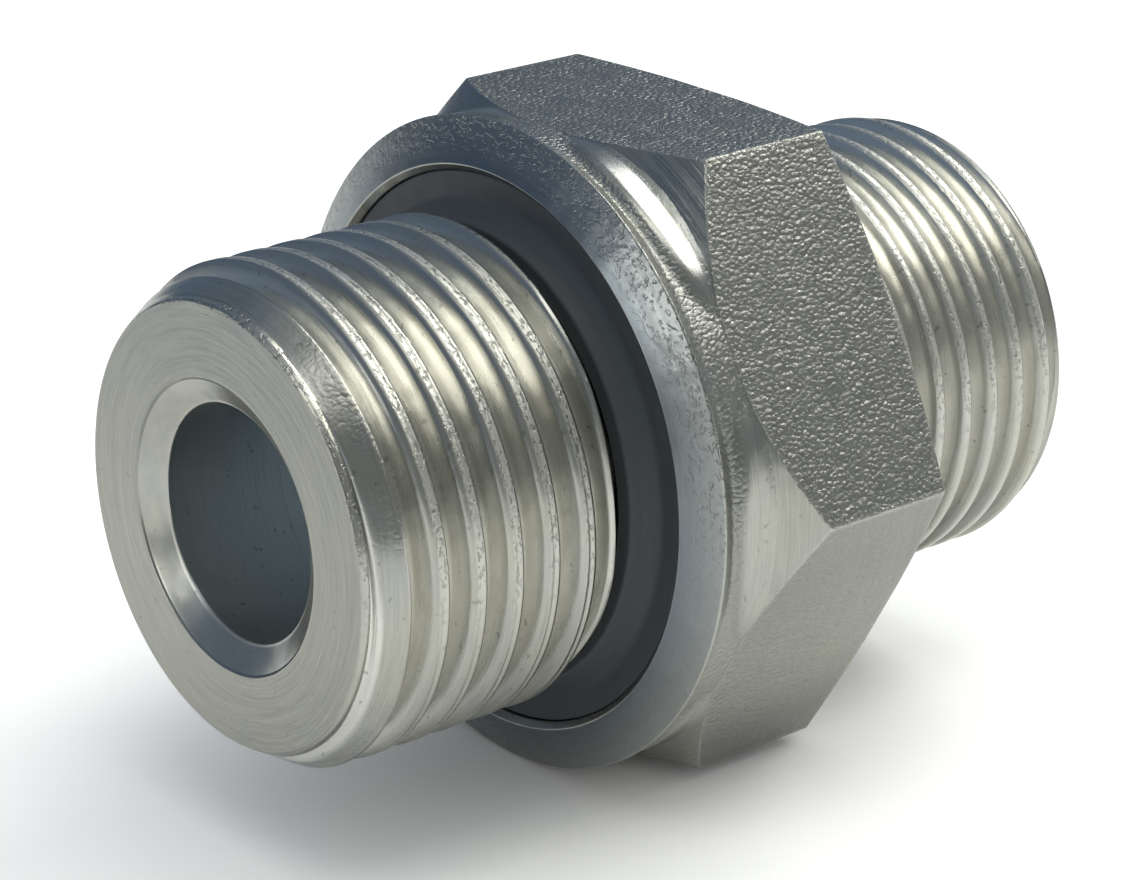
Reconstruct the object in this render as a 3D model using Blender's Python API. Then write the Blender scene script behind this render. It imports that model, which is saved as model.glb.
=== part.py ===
"""Straight tube adapter in plated steel: a parallel threaded stud with a captive face seal at one
end, a wrench hexagon in the middle and a second threaded stud at the other end.

The fitting lies on one flat of its hexagon with its axis along Y. The sealed stud points to -Y.
Lengths along the axis are counted from the end face of that stud, and angles round the axis are
counted from straight up towards +X, the way a right hand thread turns as it goes along +Y.
"""
import math

import bmesh
import bpy
from mathutils import Matrix, Vector

# Sizes in metres

# Sealed stud
STUD_LENGTH = 0.01334
STUD_CREST_RADIUS = 0.01038
STUD_PITCH = 0.001814
STUD_THREAD_DEPTH = 0.00116
STUD_THREAD_PHASE = 0.00171
STUD_FACE_RADIUS = 0.00921
STUD_CHAMFER_LENGTH = 0.0019
STUD_RELIEF_LENGTH = 0.00164
STUD_RELIEF_STEP = 0.00015
STUD_RUNOUT_LENGTH = 0.0006

# Flange and the recess for the seal
FLANGE_LAND = 0.0023
FLANGE_EDGE_ROUND = 0.00035
FLANGE_RIM_LENGTH = 0.0016
FLANGE_DRAFT_LENGTH = 0.00116
FLANGE_RIM_DRAFT = 0.00008
RECESS_DEPTH = 0.00256
RECESS_LIP = 0.00012

# Hexagon
HEX_ACROSS_FLATS = 0.0268
HEX_LENGTH = 0.0088
HEX_FRONT_CHAMFER_ANGLE = math.radians(45.0)
HEX_REAR_CHAMFER_ANGLE = math.radians(75.0)
COLLAR_ABOVE_FLAT = 0.0001
CORE_BELOW_FLAT = 0.0003
REAR_RING_ABOVE_FLAT = 0.00015

# Plain stud at the far end
FAR_LENGTH = 0.01253
FAR_CREST_RADIUS = 0.00988
FAR_PITCH = 0.0015875
FAR_THREAD_DEPTH = 0.00095
FAR_THREAD_PHASE = 0.00844
FAR_RELIEF_LENGTH = 0.002
FAR_RELIEF_STEP = 0.00015
FAR_RUNOUT_LENGTH = 0.0005
FAR_CHAMFER_LENGTH = 0.0011
FAR_CHAMFER_DEPTH = 0.00045

# Bore and its countersink
BORE_RADIUS = 0.00493
SINK_RADIUS = 0.00615
SINK_LEAD = 0.00012
SINK_LEAD_DEPTH = 0.0002
SINK_DEPTH = 0.00078

# Seal ring
SEAL_WIDTH = 0.00213
SEAL_CLEARANCE = 0.0003
SEAL_BELOW_FACE = 0.00056
SEAL_EDGE_ROUND = 0.00018
SEAL_COLLAR_HEIGHT = 0.00105
SEAL_COLLAR_WIDTH = 0.00073
SEAL_COLLAR_SLOPE = 0.0005

# Thread forms: half the angle between flanks, and how much of the pitch a crest keeps flat
STUD_FLANK_ANGLE = math.radians(27.5)
FAR_FLANK_ANGLE = math.radians(30.0)
CREST_FLAT = 0.066
CREST_ROUND = 0.1
ROOT_ROUND = 0.1
ROOT_FLAT = 0.11

# Facets round the axis
STEPS = 40
ROUND_STEPS = 4
HALF_FACET = 0.5
WELD_DISTANCE = 2e-6

# Places along the axis, worked out from the sizes
RECESS_FLOOR = STUD_LENGTH + RECESS_DEPTH
COLLAR_END = STUD_LENGTH + FLANGE_EDGE_ROUND + FLANGE_RIM_LENGTH + FLANGE_DRAFT_LENGTH
HEX_END = COLLAR_END + HEX_LENGTH
TOTAL_LENGTH = HEX_END + FAR_LENGTH

HEX_APOTHEM = HEX_ACROSS_FLATS / 2
HEX_CORNER = HEX_APOTHEM / math.cos(math.pi / 6)
STUD_ROOT_RADIUS = STUD_CREST_RADIUS - STUD_THREAD_DEPTH
STUD_RELIEF_RADIUS = STUD_ROOT_RADIUS - STUD_RELIEF_STEP
SEAL_INNER_RADIUS = STUD_RELIEF_RADIUS + SEAL_CLEARANCE
SEAL_OUTER_RADIUS = SEAL_INNER_RADIUS + SEAL_WIDTH
RECESS_RADIUS = SEAL_OUTER_RADIUS + SEAL_CLEARANCE
FLANGE_RADIUS = RECESS_RADIUS + FLANGE_LAND
FAR_ROOT_RADIUS = FAR_CREST_RADIUS - FAR_THREAD_DEPTH
FAR_RELIEF_RADIUS = FAR_ROOT_RADIUS - FAR_RELIEF_STEP
COLLAR_RADIUS = HEX_APOTHEM + COLLAR_ABOVE_FLAT
CORE_RADIUS = HEX_APOTHEM - CORE_BELOW_FLAT
AXIS_HEIGHT = FLANGE_RADIUS
OVERCUT = STUD_PITCH


def material(name, colour, metallic, roughness):
    """A plain surface with one colour."""
    made = bpy.data.materials.new(name)
    made.use_nodes = True
    shader = made.node_tree.nodes["Principled BSDF"]
    shader.inputs["Base Color"].default_value = (*colour, 1.0)
    shader.inputs["Metallic"].default_value = metallic
    shader.inputs["Roughness"].default_value = roughness
    return made


def add_object(name, bm):
    """Turns a finished bmesh into a scene object."""
    bmesh.ops.recalc_face_normals(bm, faces=bm.faces)
    mesh = bpy.data.meshes.new(name)
    bm.to_mesh(mesh)
    bm.free()
    made = bpy.data.objects.new(name, mesh)
    bpy.context.scene.collection.objects.link(made)
    return made


def turned(name, profile, offset=0.0):
    """A solid turned on the Y axis from a profile of (along, radius) points.

    A profile that starts and ends on the axis gives a solid piece, and a closed one gives a ring.
    The offset turns it by a part of a facet, so that a cutter's edges miss those of its blank.
    """
    bm = bmesh.new()
    turn = Matrix.Rotation(2 * math.pi * offset / STEPS, 3, "Y")
    verts = [bm.verts.new(turn @ Vector((0.0, along, radius))) for along, radius in profile]
    edges = [bm.edges.new(pair) for pair in zip(verts, verts[1:])]
    if profile[0][1] > 0:
        edges.append(bm.edges.new((verts[-1], verts[0])))
    bmesh.ops.spin(
        bm, geom=verts + edges, cent=(0, 0, 0), axis=(0, 1, 0),
        angle=2 * math.pi, steps=STEPS, use_merge=True,
    )
    bmesh.ops.remove_doubles(bm, verts=bm.verts, dist=1e-7)
    return add_object(name, bm)


def arc(centre, radius, start, end):
    """Points on an arc in the (along, radius) plane, with angles counted from +along."""
    points = []
    for index in range(ROUND_STEPS + 1):
        angle = start + (end - start) * index / ROUND_STEPS
        points.append((centre[0] + radius * math.cos(angle), centre[1] + radius * math.sin(angle)))
    return points


def groove_section(pitch, depth, flank_angle, crest):
    """The space between two thread ridges, as (offset along the axis, radius) points.

    The flanks meet the crest and the root through a short bevel in place of the rounding that
    rolling leaves there, and the outline is closed above the crest so that it cuts clear.
    """
    slope = math.tan(flank_angle)
    middle = pitch / 4
    upper = depth * CREST_ROUND
    lower = depth * (1 - ROOT_ROUND)
    half = [
        (pitch * (1 - CREST_FLAT) / 2, 0.0),
        (middle + (depth / 2 - upper) * slope, upper),
        (middle + (depth / 2 - lower) * slope, lower),
        (pitch * ROOT_FLAT / 2, depth),
    ]
    clear = (pitch * (2 - CREST_FLAT) / 4, -depth / 4)
    side = [(offset, crest - down) for offset, down in [clear] + half]
    return side + [(-offset, radius) for offset, radius in reversed(side)]


def thread_cutter(name, section, pitch, phase, begin, end):
    """Sweeps a groove section along a right hand helix, from place begin to place end.

    The groove's middle passes the place phase where the angle is zero. The sweep keeps to whole
    facets of the turned blank, so the thread's corners fall on the blank's own edges.
    """
    first = math.floor((begin - phase) / pitch * STEPS)
    last = math.ceil((end - phase) / pitch * STEPS)
    bm = bmesh.new()
    start = phase + pitch * first / STEPS
    verts = [bm.verts.new((0.0, start + offset, radius)) for offset, radius in section]
    face = bm.faces.new(verts)
    turn = Matrix.Rotation(2 * math.pi * first / STEPS, 4, "Y")
    bmesh.ops.transform(bm, matrix=turn, verts=verts)
    bmesh.ops.spin(
        bm, geom=verts + list(face.edges) + [face], cent=(0, 0, 0), axis=(0, 1, 0),
        dvec=(0, pitch / STEPS, 0), angle=2 * math.pi * (last - first) / STEPS,
        steps=last - first, use_merge=False,
    )
    return cutter(add_object(name, bm))


def cutter(made):
    """Marks an object as a tool that shapes others and is no part of the product."""
    made.hide_render = True
    made.display_type = "WIRE"
    return made


def boolean(target, tool, operation):
    """Adds a Boolean modifier with the exact solver."""
    modifier = target.modifiers.new(tool.name, "BOOLEAN")
    modifier.object = tool
    modifier.operation = operation
    modifier.solver = "EXACT"


def body_profile():
    """The turned outline of the fitting, from the sealed stud's end to the far end."""
    edge_centre = (STUD_LENGTH + FLANGE_EDGE_ROUND, FLANGE_RADIUS - FLANGE_EDGE_ROUND)
    relief_start = STUD_LENGTH - STUD_RELIEF_LENGTH
    far_relief_end = HEX_END + FAR_RELIEF_LENGTH
    points = [
        (0.0, 0.0),
        (0.0, STUD_FACE_RADIUS),
        (STUD_CHAMFER_LENGTH, STUD_CREST_RADIUS),
        (relief_start, STUD_CREST_RADIUS),
        (relief_start + STUD_RUNOUT_LENGTH, STUD_RELIEF_RADIUS),
        (RECESS_FLOOR, STUD_RELIEF_RADIUS),
        (RECESS_FLOOR, RECESS_RADIUS),
        (STUD_LENGTH + RECESS_LIP, RECESS_RADIUS),
        (STUD_LENGTH, RECESS_RADIUS + RECESS_LIP),
    ]
    points += arc(edge_centre, FLANGE_EDGE_ROUND, math.pi, math.pi / 2)
    points += [
        (edge_centre[0] + FLANGE_RIM_LENGTH, FLANGE_RADIUS - FLANGE_RIM_DRAFT),
        (COLLAR_END, COLLAR_RADIUS),
        (COLLAR_END, CORE_RADIUS),
        (HEX_END - FAR_RELIEF_LENGTH / 2, CORE_RADIUS),
        (HEX_END - FAR_RELIEF_LENGTH / 2, FAR_RELIEF_RADIUS),
        (far_relief_end - FAR_RUNOUT_LENGTH, FAR_RELIEF_RADIUS),
        (far_relief_end, FAR_CREST_RADIUS),
        (TOTAL_LENGTH - FAR_CHAMFER_LENGTH, FAR_CREST_RADIUS),
        (TOTAL_LENGTH, FAR_CREST_RADIUS - FAR_CHAMFER_DEPTH),
        (TOTAL_LENGTH, 0.0),
    ]
    return points


def hexagon():
    """The wrench hexagon: a six sided bar whose corners are turned off at both ends."""
    inside = (RECESS_FLOOR + COLLAR_END) / 2
    bm = bmesh.new()
    bmesh.ops.create_circle(bm, cap_ends=True, segments=6, radius=HEX_CORNER)
    grown = bmesh.ops.extrude_face_region(bm, geom=bm.faces[:])
    top = [item for item in grown["geom"] if isinstance(item, bmesh.types.BMVert)]
    bmesh.ops.translate(bm, verts=top, vec=(0, 0, HEX_END + OVERCUT - inside))
    # The bar stands on its circle's first corner, and a quarter turn about X lays it along Y
    bar_turn = Matrix.Rotation(-math.pi / 2, 4, "X") @ Matrix.Rotation(math.pi / 6, 4, "Z")
    bmesh.ops.transform(bm, matrix=Matrix.Translation((0, inside, 0)) @ bar_turn, verts=bm.verts)
    bar = add_object("hex_bar", bm)

    outer = HEX_CORNER + COLLAR_ABOVE_FLAT
    front_run = (outer - COLLAR_RADIUS) / math.tan(HEX_FRONT_CHAMFER_ANGLE)
    rear_ring = HEX_APOTHEM + REAR_RING_ABOVE_FLAT
    rear_run = (outer - rear_ring) / math.tan(HEX_REAR_CHAMFER_ANGLE)
    front = COLLAR_END - COLLAR_ABOVE_FLAT / math.tan(HEX_FRONT_CHAMFER_ANGLE)
    lead = front - (front - inside) * 1.5
    lead_radius = COLLAR_RADIUS - (front - lead) * math.tan(HEX_FRONT_CHAMFER_ANGLE)
    chamfers = turned("hex_chamfers", [
        (lead, 0.0),
        (lead, lead_radius),
        (front + front_run, outer),
        (HEX_END - rear_run, outer),
        (HEX_END, rear_ring),
        (HEX_END, 0.0),
    ], HALF_FACET)
    boolean(bar, cutter(chamfers), "INTERSECT")
    return cutter(bar)


def bore_cutter():
    """The bore, with the two step countersink at the sealed stud's end."""
    sink_edge = SINK_RADIUS - SINK_LEAD_DEPTH
    inner = BORE_RADIUS + SINK_LEAD
    return cutter(turned("bore", [
        (-SINK_LEAD, 0.0),
        (-SINK_LEAD, SINK_RADIUS + SINK_LEAD_DEPTH),
        (SINK_LEAD, sink_edge),
        (SINK_DEPTH - SINK_LEAD / 2, inner),
        (SINK_DEPTH, BORE_RADIUS),
        (TOTAL_LENGTH + OVERCUT, BORE_RADIUS),
        (TOTAL_LENGTH + OVERCUT, 0.0),
    ], HALF_FACET))


def fitting_body():
    """One piece of steel: turned blank, forged hexagon, bore and two cut threads."""
    body = turned("fitting_body", body_profile())
    boolean(body, hexagon(), "UNION")
    boolean(body, bore_cutter(), "DIFFERENCE")
    stud_section = groove_section(
        STUD_PITCH, STUD_THREAD_DEPTH, STUD_FLANK_ANGLE, STUD_CREST_RADIUS)
    relief_middle = STUD_LENGTH - (STUD_RELIEF_LENGTH - STUD_RUNOUT_LENGTH) / 2
    stud_tool = thread_cutter(
        "stud_thread", stud_section, STUD_PITCH, STUD_THREAD_PHASE, -OVERCUT, relief_middle)
    boolean(body, stud_tool, "DIFFERENCE")
    far_section = groove_section(FAR_PITCH, FAR_THREAD_DEPTH, FAR_FLANK_ANGLE, FAR_CREST_RADIUS)
    far_relief_middle = HEX_END + FAR_RELIEF_LENGTH / 2
    far_tool = thread_cutter(
        "far_thread", far_section, FAR_PITCH, HEX_END + FAR_THREAD_PHASE, far_relief_middle,
        TOTAL_LENGTH + OVERCUT)
    boolean(body, far_tool, "DIFFERENCE")
    weld = body.modifiers.new("weld", "WELD")
    weld.merge_threshold = WELD_DISTANCE
    return body


def seal_ring():
    """The elastomer ring held in the flange's recess.

    Its face lies a little below the flange's, and a collar on its inner side stands forward over the
    relief groove, which is what keeps the ring on the stud.
    """
    inner = SEAL_INNER_RADIUS
    outer = SEAL_OUTER_RADIUS
    front = STUD_LENGTH + SEAL_BELOW_FACE
    back = RECESS_FLOOR - SEAL_CLEARANCE
    collar = inner + SEAL_COLLAR_WIDTH
    corner = SEAL_EDGE_ROUND
    return turned("seal_ring", [
        (back, inner),
        (front - SEAL_COLLAR_HEIGHT + corner, inner),
        (front - SEAL_COLLAR_HEIGHT, inner + corner),
        (front - SEAL_COLLAR_HEIGHT, collar - corner),
        (front - SEAL_COLLAR_HEIGHT + corner, collar),
        (front, collar + SEAL_COLLAR_SLOPE),
        (front, outer - corner),
        (front + corner, outer),
        (back - corner, outer),
        (back, outer - corner),
    ])


def main():
    for item in list(bpy.data.objects):
        bpy.data.objects.remove(item, do_unlink=True)
    steel = material("plated_steel", (0.60, 0.59, 0.55), 1.0, 0.32)
    rubber = material("seal_rubber", (0.030, 0.034, 0.038), 0.0, 0.55)
    body = fitting_body()
    ring = seal_ring()
    body.data.materials.append(steel)
    ring.data.materials.append(rubber)
    centre = (0.0, -TOTAL_LENGTH / 2, AXIS_HEIGHT)
    for item in bpy.data.objects:
        item.location = centre
    for item in (body, ring):
        item.data.shade_smooth()
        item.data.set_sharp_from_angle(angle=math.radians(24.0))


main()
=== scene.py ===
"""Looks of the plated tube adapter: one steel body with its two threads, and the rubber face seal.

Lengths are in millimetres until a mesh is made. "along" runs from the sealed stud's end face to the
far end, "turn" is the angle round the axis from straight up towards +X, and "radius" is the distance
from the axis.
"""
import math

import bpy
import numpy as np
from mathutils import Matrix, Vector


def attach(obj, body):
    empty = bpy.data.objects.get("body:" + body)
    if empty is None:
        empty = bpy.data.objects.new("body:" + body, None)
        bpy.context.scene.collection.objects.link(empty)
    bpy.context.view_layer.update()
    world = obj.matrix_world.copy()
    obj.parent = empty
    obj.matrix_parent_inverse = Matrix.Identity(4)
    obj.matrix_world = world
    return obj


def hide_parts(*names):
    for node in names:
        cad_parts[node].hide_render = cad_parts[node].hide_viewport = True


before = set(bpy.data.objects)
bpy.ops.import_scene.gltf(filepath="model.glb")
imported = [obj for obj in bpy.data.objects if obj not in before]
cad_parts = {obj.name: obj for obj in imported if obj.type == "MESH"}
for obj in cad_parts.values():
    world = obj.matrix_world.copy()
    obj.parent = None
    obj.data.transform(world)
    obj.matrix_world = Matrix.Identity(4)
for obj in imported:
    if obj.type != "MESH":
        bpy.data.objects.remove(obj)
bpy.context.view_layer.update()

MM = 0.001
GRID_PER_MM = 5000
LENGTH = 37.78
AXIS_HEIGHT = 14.1

# Sealed stud. The ridge of each thread is its half angle, the radius of its arcs, the half width of its
# level crest, and the width and depth of the seam along the crest
STUD_FACE = 9.21
STUD_CREST = 10.38
STUD_PITCH = 1.814
STUD_DEPTH = 1.16
STUD_PHASE = 1.71
STUD_CHAMFER = 1.9
STUD_RUNOUT = 0.6
STUD_RIDGE = (math.radians(27.5), 0.17, 0.19, 0.09, 0.04)
STUD_FIRST_RING = 0.3
STUD_LAST_RING = 12.35
RELIEF_START = 11.7
RELIEF_RADIUS = 9.07
RECESS_FLOOR = 15.9
RECESS_RADIUS = 11.8
RECESS_CHAMFER = 0.28

# The torn start of its thread: place along, turn (past the seam below), and the reach of each
TORN_ALONG = 1.4
TORN_LENGTH = 0.8
TORN_TURN = math.radians(408.0)
TORN_WIDTH = 0.45

# Flange, forged collar and hexagon
FLANGE_FACE = 13.34
FLANGE_RADIUS = 14.1
FACE_DROP = 0.78
RIM = FLANGE_FACE + FACE_DROP
DIP_DEPTH = 0.47
DIP_LENGTH = 0.75
SKIN_FALL = 0.12
SKIN_LENGTH = 1.5
NECK_HEIGHT = 0.43
NECK_LENGTH = 1.4
NECK_TURN = math.radians(22.0)
CREASE = 16.45
CREASE_RADIUS = 13.5
FLAT = 13.4
HEX_END = 25.25
REAR_CHAMFER = math.radians(15.0)

# Far stud
FAR_FIRST_RING = 26.7
FAR_LAST_RING = LENGTH - 0.25
FAR_RELIEF_END = 27.25
FAR_RELIEF_RADIUS = 8.78
FAR_CREST = 9.88
FAR_PITCH = 1.5875
FAR_DEPTH = 0.95
FAR_PHASE = 33.69
FAR_CHAMFER = 1.1
FAR_RUNOUT = 0.5
FAR_RIDGE = (math.radians(30.0), 0.28, 0.07, 0.04, 0.01)
FAR_FACE = 9.43

# Bore and countersink, and how far in the bore is made from each end
BORE = 4.93
SINK = 6.15
SINK_DEPTH = 0.75
BORE_JOIN = 8.0

# Seal ring
SEAL_BACK = 15.6
SEAL_FRONT = 13.72
SEAL_COLLAR_FRONT = 12.7
SEAL_INNER = 9.12
SEAL_OUTER = 11.77

# Columns round the axis in degrees, from the bottom once round to the bottom: even ones, and close ones
# beside each corner of the hexagon
even = np.arange(0.0, 360.0, 1.6667)
corners = np.arange(30.0, 360.0, 60.0)
beside = (corners[:, None] + np.array([-0.8, -0.3, 0.0, 0.3, 0.8])).ravel()
even = even[np.abs((even[:, None] - corners + 180.0) % 360.0 - 180.0).min(axis=1) > 1.2]
columns = np.sort(np.concatenate([even, beside, [180.0]]))
columns = columns[np.append(True, np.diff(columns) > 0.05)]
start = np.searchsorted(columns, 180.0)
columns = np.concatenate([columns[start:], columns[:start] + 360.0, [540.0]])
turn = np.radians(columns)[None, :]
COLUMNS = len(columns) - 1

MARKS = ("crest", "root", "forged", "ringed", "edge", "inside", "lapped")


def rounded(points, radii, steps=4):
    """A profile with soft corners.

    Each corner is swapped for a quadratic curve between two points at its radius before and after
    it, and a guard point lies a little further out on each side, which keeps the long faces flat.
    """
    points = np.asarray(points, float)
    made = [points[:1]]
    share = np.linspace(0.0, 1.0, steps + 1)[:, None]
    for before, corner, after, radius in zip(points, points[1:], points[2:], radii):
        back = before - corner
        on = after - corner
        reach = min(np.hypot(*back), np.hypot(*on)) * 0.45
        cut = min(radius, reach)
        guard = min(radius * 1.5, reach * 1.05)
        start = corner + back / np.hypot(*back) * cut
        end = corner + on / np.hypot(*on) * cut
        curve = (1 - share) ** 2 * start + 2 * share * (1 - share) * corner + share**2 * end
        made += [
            (corner + back / np.hypot(*back) * guard)[None],
            curve,
            (corner + on / np.hypot(*on) * guard)[None],
        ]
    made.append(points[-1:])
    return np.concatenate(made)


def step_between(value, low, high):
    """0 below low, 1 above high, and between them three times the square less twice the cube."""
    share = np.clip((value - low) / (high - low), 0.0, 1.0)
    return share * share * (3 - 2 * share)


def turned(profile, **marks):
    """Rows of a turned zone: along and radius of the profile are the same at every turn."""
    profile = np.asarray(profile, float)
    along = np.repeat(profile[:, :1], COLUMNS + 1, axis=1)
    radius = np.repeat(profile[:, 1:], COLUMNS + 1, axis=1)
    return along, radius, {name: give(along, radius) for name, give in marks.items()}


def ridge(offset, pitch, depth, half_angle, arc, flat, seam_width, seam_depth):
    """Height of a thread ridge above its root, for an offset from the crest's middle.

    The crest is level as far as flat on each side. Straight flanks at about the half angle join a
    crest arc and a root arc of one radius. The seam that rolling leaves on the crest is a
    bell-shaped dip: its depth times e to the minus square of offset over width.
    """
    from_middle = np.abs((offset / pitch + 0.5) % 1.0 - 0.5) * pitch
    past_flat = np.maximum(from_middle - flat, 0.0)
    crest_end = arc * math.cos(half_angle)
    drop_at_end = arc * (1 - math.sin(half_angle))
    crest = depth - arc + np.sqrt(np.maximum(arc**2 - past_flat**2, 0.0))
    to_root = pitch / 2 - flat - past_flat
    root = arc - np.sqrt(np.maximum(arc**2 - to_root**2, 0.0))
    top = depth - drop_at_end
    run = pitch / 2 - flat - 2 * crest_end
    flank = top - (past_flat - crest_end) * (top - drop_at_end) / run
    height = np.where(past_flat < crest_end, crest, np.where(to_root < crest_end, root, flank))
    return height - seam_depth * np.exp(-(from_middle / seam_width) ** 2)


def threaded(rings, pitch, crest_at, depth, crest_radius, shape, shares, envelope, grooves):
    """Rows that follow a right hand helix between two rings.

    along is the row's place plus one pitch for each full turn, held between the two rings, and
    radius is the lower of the thread's own and the envelope's, which holds the chamfer at one end
    and the run out into the relief groove at the other. The rows lie at given shares of the pitch
    from the crest's middle, close together on the crest. One row more is kept at each ring, which
    closes the seam there. The groove's colour comes in between two shares of the pitch.
    """
    begin, end = rings
    shares = np.asarray(shares)
    first = crest_at + pitch / 2 - pitch * math.ceil((crest_at + pitch / 2 - begin) / pitch + 1.5)
    count = int(math.ceil((end - first) / pitch)) + 1
    row = (np.arange(count)[:, None] + shares[None, :]).reshape(-1, 1)
    advance = (turn - math.pi) / (2 * math.pi)
    free = first + pitch * (row + advance)
    kept = (np.roll(free.max(axis=1), -1) > begin) & (np.roll(free.min(axis=1), 1) < end)
    along = np.clip(free[kept], begin, end)
    offset = along - crest_at - pitch * turn / (2 * math.pi)
    radius = crest_radius - depth + ridge(offset, pitch, depth, *shape)
    limit = envelope(along)
    share = np.abs((offset / pitch + 0.5) % 1.0 - 0.5)
    cut = step_between(limit - radius, -0.02, 0.02)
    torn = np.exp(-(((along - TORN_ALONG) / TORN_LENGTH) ** 2) - ((turn - TORN_TURN) / TORN_WIDTH) ** 2)
    marks = {
        "forged": 0.5 * torn * (1 - cut),
        "crest": (1 - step_between(share, 0.07, 0.15)) * cut,
        "root": step_between(share, *grooves) * cut,
        "edge": (1 - step_between(np.abs(limit - radius), 0.0, 0.08)) * 0.6,
    }
    return along, np.minimum(radius, limit), marks


def hexagon_radius():
    """Distance from the axis to the hexagon's side at each turn: half across flats over cosine."""
    sector = (turn + math.pi / 6) % (math.pi / 3) - math.pi / 6
    return FLAT / np.cos(sector)


def stud_envelope(along):
    """Start chamfer at the end face, straight over the thread, run out into the relief groove."""
    chamfer = STUD_FACE + along * (STUD_CREST - STUD_FACE) / STUD_CHAMFER
    runout = STUD_CREST - (along - RELIEF_START) * (STUD_CREST - RELIEF_RADIUS) / STUD_RUNOUT
    return np.maximum(np.minimum(chamfer, runout), RELIEF_RADIUS)


def far_envelope(along):
    """Run out from the relief groove, then straight, then the end chamfer."""
    runout = FAR_CREST - (FAR_RELIEF_END - along) * (FAR_CREST - FAR_RELIEF_RADIUS) / FAR_RUNOUT
    chamfer = FAR_FACE + (LENGTH - along) * (FAR_CREST - FAR_FACE) / FAR_CHAMFER
    return np.maximum(np.minimum(chamfer, runout), FAR_RELIEF_RADIUS)


def neck_reach():
    """Share of the turned neck at each turn: 1 at the hexagon's corners and 0 from NECK_TURN on.

    It is the root of one minus the square of the turn from the corner over NECK_TURN.
    """
    from_corner = np.abs(turn % (math.pi / 3) - math.pi / 6)
    return np.sqrt(np.maximum(1 - (from_corner / NECK_TURN) ** 2, 0.0))


def crease_radius():
    """Radius at which the turned neck, or the skin between two necks, meets the front cone."""
    return np.minimum(CREASE_RADIUS + NECK_HEIGHT * neck_reach(), hexagon_radius() - 0.02)


def collar_rows():
    """Rows between the flange's rim and the crease before the hexagon.

    The forged skin falls from the rim in two straight runs, a steep dip and then a slow fall. Beside
    each corner a turned neck stands over it, in the shape of a lens: its radius comes in by a smooth
    step at a start that lies further forward, the greater the neck's share is at that turn.
    """
    reach = neck_reach()
    cut_start = CREASE + 0.1 - NECK_LENGTH * reach
    places = np.array([14.4, 14.52, 14.65, 14.8, 14.95, 15.05, 15.15, 15.25, 15.35, 15.5, 15.65, 15.8,
                       15.95, 16.1, 16.25, 16.35, 16.42])[:, None]
    along = np.broadcast_to(places, (len(places), COLUMNS + 1))
    forged = (FLANGE_RADIUS - 0.06 - DIP_DEPTH * np.clip((along - RIM) / DIP_LENGTH, 0.0, 1.0)
              - SKIN_FALL * np.clip((along - RIM - DIP_LENGTH) / SKIN_LENGTH, 0.0, 1.0))
    share = step_between(along - cut_start, -0.3, 0.25) * (reach > 0)
    radius = forged + (np.maximum(crease_radius(), forged) - forged) * share
    skin = 1 - step_between(along - cut_start, -0.1, 0.25) * (reach > 0)
    return along, radius, {"forged": skin * 0.85}


def hexagon_rows():
    """Rows over the hexagon: its front chamfer cone, the six flats, and the chamfer behind.

    Each station is its place along, its radius, and its share of forged skin and of worn edge, each a
    number or one value for every turn. The cone rises one for one from the crease, so the front row
    follows the curve in which it cuts the flats, and the rear row falls by the rear chamfer's tangent.
    """
    corner = hexagon_radius()
    cone_foot = crease_radius()
    skin = 1 - step_between(corner - CREASE_RADIUS, 0.0, 0.15)
    crease = CREASE + np.maximum(cone_foot - CREASE_RADIUS, 0.0)
    span = 0.06 + corner - cone_foot
    front = crease + span
    back = HEX_END - np.maximum(corner - FLAT - 0.15, 0.0) * math.tan(REAR_CHAMFER) - 0.02
    sector = np.abs((turn + math.pi / 6) % (math.pi / 3) - math.pi / 6)
    ridge_line = step_between(sector, math.radians(29.2), math.radians(30.0))
    flats = [(front + 0.08, 0.3), (front + 0.3, 0.0), (front * 0.75 + back * 0.25, 0.0),
             (front * 0.5 + back * 0.5, 0.0), (front * 0.25 + back * 0.75, 0.0),
             (back - 0.3, 0.0), (back - 0.08, 0.3)]
    stations = [
        *[(crease + span * part, cone_foot + (corner - cone_foot) * part, skin, worn * (1 - skin))
          for part, worn in ((0.01, 0.3), (0.05, 0.0), (0.5, 0.0), (0.92, 0.0), (0.985, 0.6))],
        (front + 0.02, corner - 0.008, 0.3, 1.0),
        *[(place, corner, 1.0, worn) for place, worn in flats],
        (back - 0.03, corner - 0.01, 0.3, 1.0),
        (back + 0.005, corner - 0.04, 0.0, 0.6),
        (HEX_END, np.minimum(corner, FLAT + 0.15) - 0.05, 0.0, 0.0),
        (HEX_END, FLAT - 0.2, 0.0, 0.0),
    ]
    shape = (1, COLUMNS + 1)
    along, radius, forged, edge = [
        np.concatenate([np.broadcast_to(station[part], shape) for station in stations])
        for part in range(4)
    ]
    edge = np.maximum(edge, ridge_line * forged)
    # The upper side of the turned cones carries a painted dark reflection
    return along, radius, {"forged": forged, "edge": edge, "ringed": (1 - forged) * 0.25,
                           "lapped": (1 - forged) * 0.5 * step_between(np.cos(turn), 0.5, 0.8)}


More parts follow.
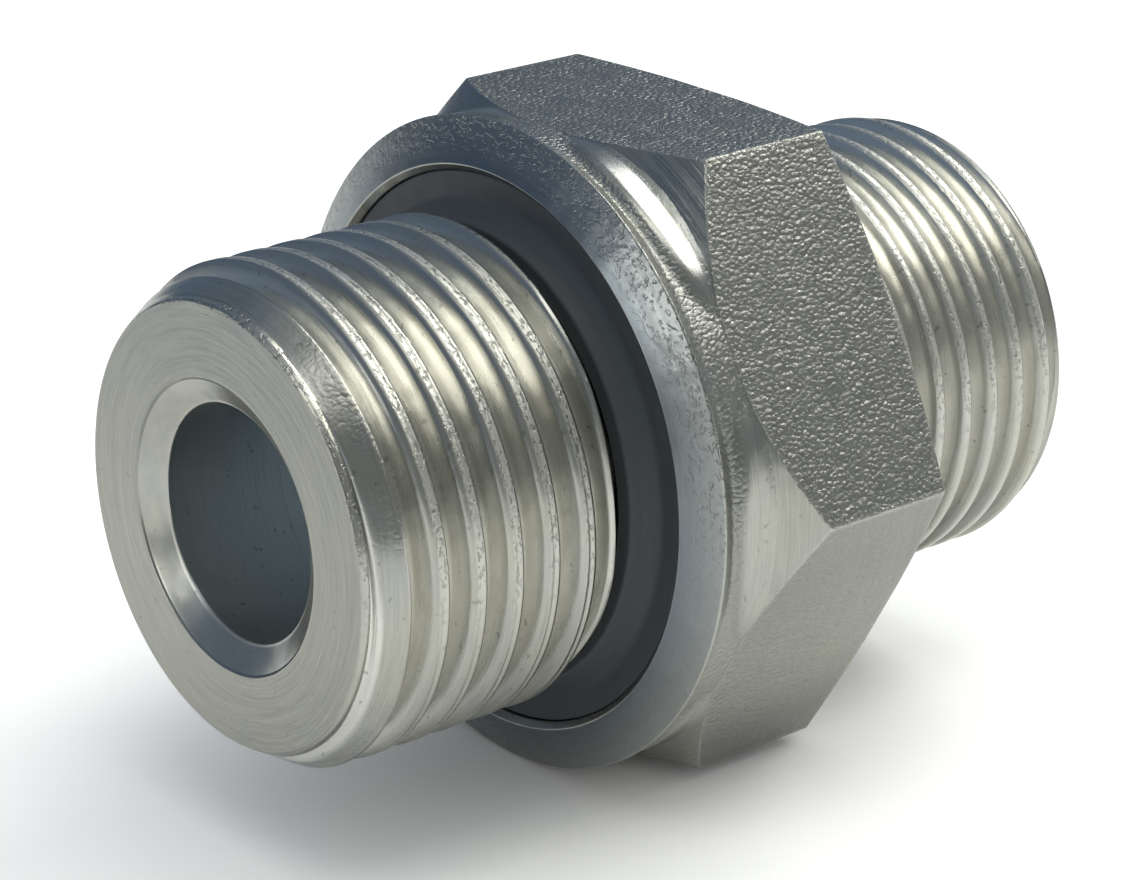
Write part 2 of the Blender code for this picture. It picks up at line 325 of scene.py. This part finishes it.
def steel_rows():
    """The whole outside and bore of the steel body as rows, each a closed ring round the axis."""
    face = turned(
        rounded([(BORE_JOIN, BORE), (SINK_DEPTH, BORE), (SINK_DEPTH - 0.05, BORE + 0.12),
                 (0.12, SINK - 0.2), (0.0, SINK), (0.0, STUD_FACE),
                 (STUD_FIRST_RING, STUD_FACE + 0.185)], [0.05, 0.05, 0.05, 0.05, 0.12], 4),
        # the bore, whose paler bluish colour is painted light
        inside=lambda along, radius: step_between(along, 0.72, 0.95),
        ringed=lambda along, radius: step_between(-along, -0.08, -0.02),
        edge=lambda along, radius: step_between(radius, STUD_FACE - 0.12, STUD_FACE) * 0.7,
    )
    close = [0.0, 0.04, 0.08, 0.14, 0.22, 0.29, 0.35, 0.39, 0.425, 0.46, 0.48, 0.5, 0.52, 0.54, 0.575,
             0.61, 0.65, 0.71, 0.78, 0.86, 0.92, 0.96]
    stud = threaded((STUD_FIRST_RING, STUD_LAST_RING), STUD_PITCH, STUD_PHASE - STUD_PITCH / 2, STUD_DEPTH,
                    STUD_CREST, STUD_RIDGE, close, stud_envelope, (0.17, 0.34))
    flange = turned(
        rounded([(STUD_LAST_RING, RELIEF_RADIUS), (RECESS_FLOOR, RELIEF_RADIUS),
                 (RECESS_FLOOR, RECESS_RADIUS), (FLANGE_FACE + 0.3, RECESS_RADIUS),
                 (FLANGE_FACE, RECESS_RADIUS + RECESS_CHAMFER),
                 (RIM, FLANGE_RADIUS - 0.05), (RIM + 0.2, FLANGE_RADIUS - 0.185)],
                [0.1, 0.1, 0.05, 0.05, 0.13], 5),
        inside=lambda along, radius: 1 - step_between(radius, RECESS_RADIUS - 0.3, RECESS_RADIUS - 0.1),
        # painted dark reflection on the flange's face
        lapped=lambda along, radius: step_between(radius, RECESS_RADIUS + 0.26, RECESS_RADIUS + 0.36)
        * (1 - step_between(along, RIM, RIM + 0.08)),
        forged=lambda along, radius: step_between(along, RIM + 0.06, RIM + 0.16)
        * (radius > 13.0) * 0.7,
        edge=lambda along, radius: step_between(radius, 13.9, 13.98),
    )
    shoulder = turned(
        rounded([(HEX_END, FLAT - 0.4), (HEX_END, FAR_RELIEF_RADIUS), (FAR_FIRST_RING, FAR_RELIEF_RADIUS)],
                [0.1], 4),
        ringed=lambda along, radius: np.ones_like(along),
    )
    open_shares = [0.0, 0.05, 0.11, 0.18, 0.26, 0.34, 0.41, 0.46, 0.5, 0.54, 0.59, 0.66, 0.74, 0.82, 0.89,
                   0.95]
    # Painted highlight: on the far thread's upper side the pale groove colour reaches further up the flanks
    painted_highlight_above = step_between(np.cos(turn), -0.1, 0.5)
    far = threaded((FAR_FIRST_RING, FAR_LAST_RING), FAR_PITCH, FAR_PHASE - FAR_PITCH / 2, FAR_DEPTH,
                   FAR_CREST, FAR_RIDGE, open_shares, far_envelope,
                   (0.17 - 0.11 * painted_highlight_above, 0.34 - 0.14 * painted_highlight_above))
    end = turned(
        rounded([(FAR_LAST_RING, FAR_FACE + 0.1), (LENGTH, FAR_FACE), (LENGTH, BORE),
                 (LENGTH - BORE_JOIN, BORE)], [0.1, 0.08], 4),
        inside=lambda along, radius: step_between(LENGTH - along, 0.5, 0.9),
        ringed=lambda along, radius: step_between(along, LENGTH - 0.08, LENGTH - 0.02),
    )
    return [face, stud, flange, collar_rows(), hexagon_rows(), shoulder, far, end]


def closed_mesh(name, zones):
    """One closed mesh from zones of rows.

    x is the radius times the sine of the turn, z the radius times its cosine, and y the place along
    from the middle. The rows are joined into a ring of rings. Points that round to the same place of
    a fine grid, as at the seam and where helical rows are held at a ring, become one. Faces that
    lose one side to that become triangles, and those that lose more are dropped.
    """
    along = np.concatenate([zone[0] for zone in zones])
    radius = np.concatenate([zone[1] for zone in zones])
    rows = along.shape[0]
    angle = np.broadcast_to(turn, along.shape)
    place = np.stack([
        radius * np.sin(angle),
        along - LENGTH / 2,
        radius * np.cos(angle) + AXIS_HEIGHT,
    ], axis=-1).reshape(-1, 3)
    keys = np.round(place * GRID_PER_MM).astype(np.int64)
    _, first, index = np.unique(keys, axis=0, return_index=True, return_inverse=True)
    index = index.reshape(rows, COLUMNS + 1)
    after = np.roll(index, -1, axis=0)
    quads = np.stack([index[:, :-1], index[:, 1:], after[:, 1:], after[:, :-1]], axis=-1).reshape(-1, 4)
    mesh = bpy.data.meshes.new(name)
    same = quads == np.roll(quads, -1, axis=1)
    whole = quads[~same.any(axis=1)]
    whole = whole[(whole[:, 0] != whole[:, 2]) & (whole[:, 1] != whole[:, 3])]
    pinched = same.sum(axis=1) == 1
    triangles = quads[pinched][~same[pinched]].reshape(-1, 3)
    triangles = triangles[(triangles != np.roll(triangles, -1, axis=1)).all(axis=1)]
    mesh.from_pydata(place[first] * MM, [], whole.tolist() + triangles.tolist())
    for mark in MARKS:
        values = np.concatenate([
            np.broadcast_to(zone[2].get(mark, 0.0), zone[0].shape) for zone in zones]).reshape(-1)[first]
        layer = mesh.attributes.new(mark, "FLOAT", "POINT")
        layer.data.foreach_set("value", np.ascontiguousarray(values, dtype=np.float32))
    mesh.validate()
    mesh.shade_smooth()
    made = bpy.data.objects.new(name, mesh)
    bpy.context.scene.collection.objects.link(made)
    return made


steel = closed_mesh("plated_fitting", steel_rows())

# Seal ring: a collar over the relief groove, a slope, and the flat front that meets the port
seal_profile = rounded(
    [(SEAL_BACK, 10.4), (SEAL_BACK, SEAL_INNER), (SEAL_COLLAR_FRONT, SEAL_INNER), (SEAL_COLLAR_FRONT, 9.9),
     (13.2, 10.15), (SEAL_FRONT, 10.6), (SEAL_FRONT - 0.04, SEAL_OUTER), (SEAL_BACK, SEAL_OUTER),
     (SEAL_BACK, 10.5)],
    [0.15, 0.12, 0.12, 0.1, 0.25, 0.10, 0.15], 4)
seal = closed_mesh("face_seal", [turned(seal_profile)])


def surface(name):
    """A new material, its node tree and its shader."""
    made = bpy.data.materials.new(name)
    made.use_nodes = True
    return made, made.node_tree, made.node_tree.nodes["Principled BSDF"]


def add(tree, kind, inputs=(), **settings):
    """A node of a kind, with its settings, and each input given by a value or another's output."""
    made = tree.nodes.new(kind)
    for name, value in settings.items():
        setattr(made, name, value)
    for key, value in dict(inputs).items():
        if isinstance(value, bpy.types.NodeSocket):
            tree.links.new(value, made.inputs[key])
        else:
            made.inputs[key].default_value = value
    return made


def sum_up(tree, operation, first, second, third=0.0, clamp=False):
    """One step of arithmetic on values or outputs."""
    made = add(tree, "ShaderNodeMath", {0: first, 1: second, 2: third}, operation=operation)
    made.use_clamp = clamp
    return made.outputs[0]


def times(tree, first, second):
    """The product of two values or outputs."""
    return sum_up(tree, "MULTIPLY", first, second)


def plus(tree, first, second):
    """The sum of two values or outputs."""
    return sum_up(tree, "ADD", first, second)


def between(tree, value, low, high, from_value=0.0, to_value=1.0):
    """A smooth step of a value from low to high, onto another range."""
    made = add(tree, "ShaderNodeMapRange", {"Value": value, "From Min": low, "From Max": high,
                                            "To Min": from_value, "To Max": to_value})
    made.interpolation_type = "SMOOTHSTEP"
    return made.outputs["Result"]


def grain(tree, vector, scale, detail=2.0, roughness=0.5):
    """Cloudy noise from 0 to 1, with its size set by scale per millimetre."""
    return add(tree, "ShaderNodeTexNoise", {"Vector": vector, "Scale": scale, "Detail": detail,
                                            "Roughness": roughness}).outputs["Fac"]


def stretched(tree, vector, sizes, offset=(0.0, 0.0, 0.0)):
    """The same place with each direction multiplied by its own number."""
    return add(tree, "ShaderNodeMapping", {"Vector": vector, "Scale": sizes, "Location": offset}).outputs[0]


def mark(tree, name):
    """A mark that the mesh carries at each point."""
    return add(tree, "ShaderNodeAttribute", attribute_name=name).outputs["Fac"]


def blend(tree, share, first, second):
    """A colour between two, by share."""
    made = add(tree, "ShaderNodeMix", {"Factor": share}, data_type="RGBA")
    for socket, value in ((made.inputs[6], first), (made.inputs[7], second)):
        if isinstance(value, bpy.types.NodeSocket):
            tree.links.new(value, socket)
        else:
            socket.default_value = value
    return made.outputs[2]


def joined(tree, x, y, z):
    """A place from its three numbers."""
    return add(tree, "ShaderNodeCombineXYZ", {0: x, 1: y, 2: z}).outputs[0]


def millimetres(tree):
    """Object place in millimetres from the middle of the axis, its x, y and z, and its radius."""
    place = add(tree, "ShaderNodeTexCoord").outputs["Object"]
    place = stretched(tree, place, (1000.0, 1000.0, 1000.0), (0.0, 0.0, -AXIS_HEIGHT))
    x, y, z = add(tree, "ShaderNodeSeparateXYZ", {0: place}).outputs
    radius = add(tree, "ShaderNodeVectorMath", {0: joined(tree, x, 0.0, z)}, operation="LENGTH")
    return place, x, y, z, radius.outputs["Value"]


# Zinc plating over turned and forged steel
plating, tree, shader = surface("zinc_plating")
place, x, y, z, radius = millimetres(tree)
crest, root, forged, ringed, edge, inside, lapped = [mark(tree, name) for name in MARKS]

# Lathe marks: noise that changes quickly along and outwards, and slowly round the axis
sweep = plus(tree, y, times(tree, radius, 0.73))
lathe_place = joined(tree, times(tree, x, 0.05), sweep, times(tree, z, 0.05))
fine_rings = grain(tree, lathe_place, 9.0, 3.0, 0.6)
wide_rings = grain(tree, lathe_place, 2.2, 2.0, 0.5)
turned_only = sum_up(tree, "SUBTRACT", 1.0, forged, clamp=True)
ring_strength = plus(tree, 0.4, plus(tree, times(tree, ringed, 2.4), times(tree, inside, 0.7)))
rings = plus(tree, times(tree, fine_rings, 0.010), times(tree, wide_rings, 0.022))
lathe = times(tree, times(tree, rings, ring_strength), turned_only)

# Forged skin: shallow domes drawn out along the bar, each lower by the square of the distance from its
# middle, with a finer grain over them. Both are rougher on the top flat
pebble_place = stretched(tree, place, (1.0, 0.75, 1.0))
cells = add(tree, "ShaderNodeTexVoronoi", {"Vector": pebble_place, "Scale": 5.5},
            feature="F1").outputs["Distance"]
patches = between(tree, grain(tree, place, 0.8, 1.0), 0.4, 0.6, 0.2, 1.0)
rougher = plus(tree, 1.0, times(tree, patches, between(tree, z, 12.9, 13.2, 0.3, 1.3)))
domes = times(tree, times(tree, times(tree, cells, cells), -0.026), rougher)
grain_height = between(tree, z, 12.9, 13.2, 0.030, 0.052)
fine_grain = times(tree, grain(tree, pebble_place, 7.0, 2.0), grain_height)
skin = times(tree, plus(tree, domes, fine_grain), forged)

# Nicks on the crests and edges, mostly on the upper side, a slow waviness everywhere, and a closer one
# on the flange's face, the edges and the crests
nick_field = grain(tree, stretched(tree, place, (1.0, 1.6, 1.0)), 3.8, 2.0, 0.6)
nicks = between(tree, nick_field, 0.54, 0.62)
worn = sum_up(tree, "MAXIMUM", crest, edge)
# Crest wear, pits and paler crests fade out towards the bottom: partly wear, and the paler crests on the
# upper side are partly a painted highlight
wear_and_highlight_above = between(tree, z, -4.0, 4.0, 0.06, 1.0)
crest_wear_and_highlight = times(tree, crest, wear_and_highlight_above)
nicked = times(tree, times(tree, nicks, worn), wear_and_highlight_above)
nick_depth = times(tree, nicked, -0.026)
uneven = plus(tree, times(tree, lapped, between(tree, radius, 12.6, 13.4)), edge)
waves = plus(tree, times(tree, grain(tree, place, 0.55, 1.0), 0.05),
             times(tree, times(tree, grain(tree, place, 2.2, 2.0), 0.014), uneven))
waves = plus(tree, waves, times(tree, times(tree, grain(tree, place, 6.5, 2.0), 0.022), crest_wear_and_highlight))

# Scratches on the flats: thin lines of stretched noise near its middle value
scratch_field = grain(tree, stretched(tree, place, (0.5, 3.2, 0.5), (3.1, 0.4, 1.7)), 1.3, 0.0)
scratch = between(tree, sum_up(tree, "ABSOLUTE", sum_up(tree, "SUBTRACT", scratch_field, 0.5), 0.0),
                  0.0, 0.006, 1.0, 0.0)
scratch_depth = times(tree, times(tree, scratch, forged), -0.006)

height = plus(tree, plus(tree, lathe, skin), plus(tree, plus(tree, nick_depth, waves), scratch_depth))
bump = add(tree, "ShaderNodeBump", {"Height": height, "Distance": MM, "Strength": 1.0})
tree.links.new(bump.outputs["Normal"], shader.inputs["Normal"])

# Colour: warm and cool drifts of the plating under layers, each with the share in which it covers
drift = grain(tree, place, 0.35, 2.0)
lines = times(tree, between(tree, fine_rings, 0.35, 0.7), turned_only)
# Painted shade: the turned faces darker towards the top
painted_shade_above = times(tree, between(tree, z, -3.0, 9.0), ringed)
specks = between(tree, grain(tree, place, 2.6, 1.0), 0.70, 0.76)
# Painted light in the forged skin's share: it drops on the lower flats, a painted reflection of the pale
# floor, and rises again at the very bottom as painted shade
forged_share_with_painted_light = sum_up(tree, "MAXIMUM", between(tree, z, -8.0, -2.0, 0.55, 0.9),
                    between(tree, z, -9.0, -12.0, 0.55, 0.95))
layers = (
    # dull forged skin; its paler lower flats are a painted reflection of the pale floor, and its darker
    # very bottom is painted shade
    (times(tree, forged, forged_share_with_painted_light), (0.25, 0.253, 0.235, 1.0)),
    # turned faces, with darker lines in the lathe marks; darker above, with stronger lines there, is
    # painted shade
    (times(tree, ringed, 0.8), (0.285, 0.285, 0.25, 1.0)),
    (times(tree, lines, plus(tree, 0.30, times(tree, painted_shade_above, 0.3))), (0.20, 0.21, 0.21, 1.0)),
    (times(tree, painted_shade_above, 0.35), (0.15, 0.16, 0.165, 1.0)),
    # painted dark reflection on the flange's face and on the upper side of the turned cones
    (times(tree, lapped, 0.9), (0.145, 0.172, 0.195, 1.0)),
    # worn edges and crests, and the pits in them; the crests' paler colour, kept to the upper side, is
    # partly a painted highlight
    (times(tree, worn, 0.6), (0.50, 0.494, 0.44, 1.0)),
    (times(tree, crest_wear_and_highlight, 0.6), (0.62, 0.61, 0.55, 1.0)),
    (times(tree, nicked, 0.7), (0.20, 0.20, 0.18, 1.0)),
    # clean plating in the grooves, reaching further up on the far thread's upper side as a painted
    # highlight, and in the bore a paler bluish colour that is painted light lifting its shade
    (times(tree, root, 0.9), (0.67, 0.662, 0.61, 1.0)),
    (times(tree, inside, 0.9), (0.76, 0.83, 0.87, 1.0)),
    # dark specks all over
    (times(tree, specks, 0.5), (0.20, 0.20, 0.18, 1.0)),
)
zinc = blend(tree, between(tree, drift, 0.35, 0.65), (0.42, 0.412, 0.355, 1.0), (0.395, 0.396, 0.37, 1.0))
for share, colour in layers:
    zinc = blend(tree, share, zinc, colour)
tree.links.new(zinc, shader.inputs["Base Color"])

haze = plus(tree, 0.20, times(tree, grain(tree, lathe_place, 3.0, 2.0), 0.16))
for part, more in ((forged, 0.10), (inside, 0.25), (crest_wear_and_highlight, 0.14)):
    haze = plus(tree, haze, times(tree, part, more))
tree.links.new(haze, shader.inputs["Roughness"])
shader.inputs["Metallic"].default_value = 1.0
steel.data.materials.append(plating)

# Moulded rubber, with flow lines round the axis and a little dust
rubber, tree, shader = surface("seal_rubber")
place, x, y, z, radius = millimetres(tree)
flow = joined(tree, times(tree, x, 0.1), plus(tree, y, radius), times(tree, z, 0.1))
flow_lines = grain(tree, flow, 3.0, 2.0)
cloud = grain(tree, place, 1.2, 3.0)
dust = between(tree, grain(tree, place, 5.0, 2.0), 0.66, 0.74)
tone = blend(tree, cloud, (0.060, 0.070, 0.078, 1.0), (0.076, 0.086, 0.094, 1.0))
tone = blend(tree, times(tree, dust, 0.35), tone, (0.10, 0.105, 0.10, 1.0))
tree.links.new(tone, shader.inputs["Base Color"])
tree.links.new(plus(tree, 0.5, times(tree, cloud, 0.22)), shader.inputs["Roughness"])
relief = plus(tree, times(tree, flow_lines, 0.02), times(tree, grain(tree, place, 7.0, 2.0), 0.008))
bump = add(tree, "ShaderNodeBump", {"Height": relief, "Distance": MM, "Strength": 0.8})
tree.links.new(bump.outputs["Normal"], shader.inputs["Normal"])
seal.data.materials.append(rubber)

for piece, node, finish in ((steel, "fitting_body", "plated_steel"), (seal, "seal_ring", "seal_rubber")):
    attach(piece, "root")
    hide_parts(node)

# Camera, from the photograph: place from the near end's middle, and the directions of the picture's
# right and up
near_end = Vector((0.0, -LENGTH / 2, AXIS_HEIGHT))
right = Vector((0.6360, 0.7717, -0.0008)).normalized()
up = Vector((-0.2789, 0.2309, 0.9321))
back = right.cross(up).normalized()
up = back.cross(right)
camera_data = bpy.data.cameras.new("camera")
camera_data.lens = 117.66
camera_data.sensor_width = 36.0
camera_data.clip_start = 0.01
camera = bpy.data.objects.new("camera", camera_data)
camera.matrix_world = Matrix.Translation((near_end + Vector((111.8, -74.7, 55.7))) * MM) @ Matrix(
    (right, up, back)).transposed().to_4x4()
bpy.context.scene.collection.objects.link(camera)
bpy.context.scene.camera = camera

# Floor: matt and pale, and lifted to white where the camera or the metal sees it, with its shadow kept
floor_mesh = bpy.data.meshes.new("floor")
floor_mesh.from_pydata([(-1, -1, 0), (1, -1, 0), (1, 1, 0), (-1, 1, 0)], [], [(0, 1, 2, 3)])
floor = bpy.data.objects.new("floor", floor_mesh)
bpy.context.scene.collection.objects.link(floor)
floor_paint, tree, shader = surface("floor_paint")
shader.inputs["Base Color"].default_value = (0.86, 0.86, 0.84, 1.0)
shader.inputs["Roughness"].default_value = 0.9
shader.inputs["Specular IOR Level"].default_value = 0.0
ray = add(tree, "ShaderNodeLightPath").outputs
seen = sum_up(tree, "MAXIMUM", ray["Is Camera Ray"], ray["Is Glossy Ray"])
seen = sum_up(tree, "MAXIMUM", seen, ray["Is Transmission Ray"])
shader.inputs["Emission Color"].default_value = (1.0, 0.995, 0.97, 1.0)
open_sky = add(tree, "ShaderNodeAmbientOcclusion", {"Distance": 0.02}, samples=1).outputs["AO"]
tree.links.new(times(tree, times(tree, seen, 0.5), open_sky), shader.inputs["Emission Strength"])
floor.data.materials.append(floor_paint)

# Studio: a dim cool room, a little warmer on the right, brighter overhead and darker at the horizon
world = bpy.data.worlds.new("studio")
world.use_nodes = True
tree = world.node_tree
look = add(tree, "ShaderNodeTexCoord").outputs["Generated"]
x, y, z = add(tree, "ShaderNodeSeparateXYZ", {0: look}).outputs
room = blend(tree, between(tree, x, -0.3, 0.8), (0.155, 0.212, 0.305, 1.0), (0.27, 0.285, 0.29, 1.0))
room = blend(tree, between(tree, z, 0.75, 1.0), room, (0.50, 0.54, 0.56, 1.0))
room = blend(tree, between(tree, z, 0.12, 0.0), room, (0.13, 0.16, 0.195, 1.0))
tree.links.new(room, tree.nodes["Background"].inputs["Color"])
bpy.context.scene.world = world


def lamp(name, azimuth, elevation, wide, tall, power):
    """A warm rectangular lamp half a metre from the fitting, which it faces from a direction.

    The direction is the sine and minus the cosine of the azimuth, each times the cosine of the
    elevation, and the sine of the elevation.
    """
    data = bpy.data.lights.new(name, "AREA")
    data.shape = "RECTANGLE"
    data.size = wide
    data.size_y = tall
    data.energy = power
    data.color = (1.0, 0.99, 0.93)
    made = bpy.data.objects.new(name, data)
    a = math.radians(azimuth)
    e = math.radians(elevation)
    out = Vector((math.sin(a) * math.cos(e), -math.cos(a) * math.cos(e), math.sin(e)))
    made.location = out * 0.5 + Vector((0.0, 0.0, AXIS_HEIGHT * MM))
    made.rotation_mode = "QUATERNION"
    made.rotation_quaternion = out.to_track_quat("Z", "Y")
    bpy.context.scene.collection.objects.link(made)


lamp("soft_window", 80.0, 73.0, 0.46, 0.18, 0.6)
lamp("rear_window", 175.0, 46.0, 0.42, 0.18, 1.5)
lamp("front_card", -12.0, 7.0, 0.14, 0.10, 0.20)
lamp("back_card", -168.0, 14.0, 0.26, 0.12, 0.20)

bpy.context.scene.view_settings.view_transform = "Standard"
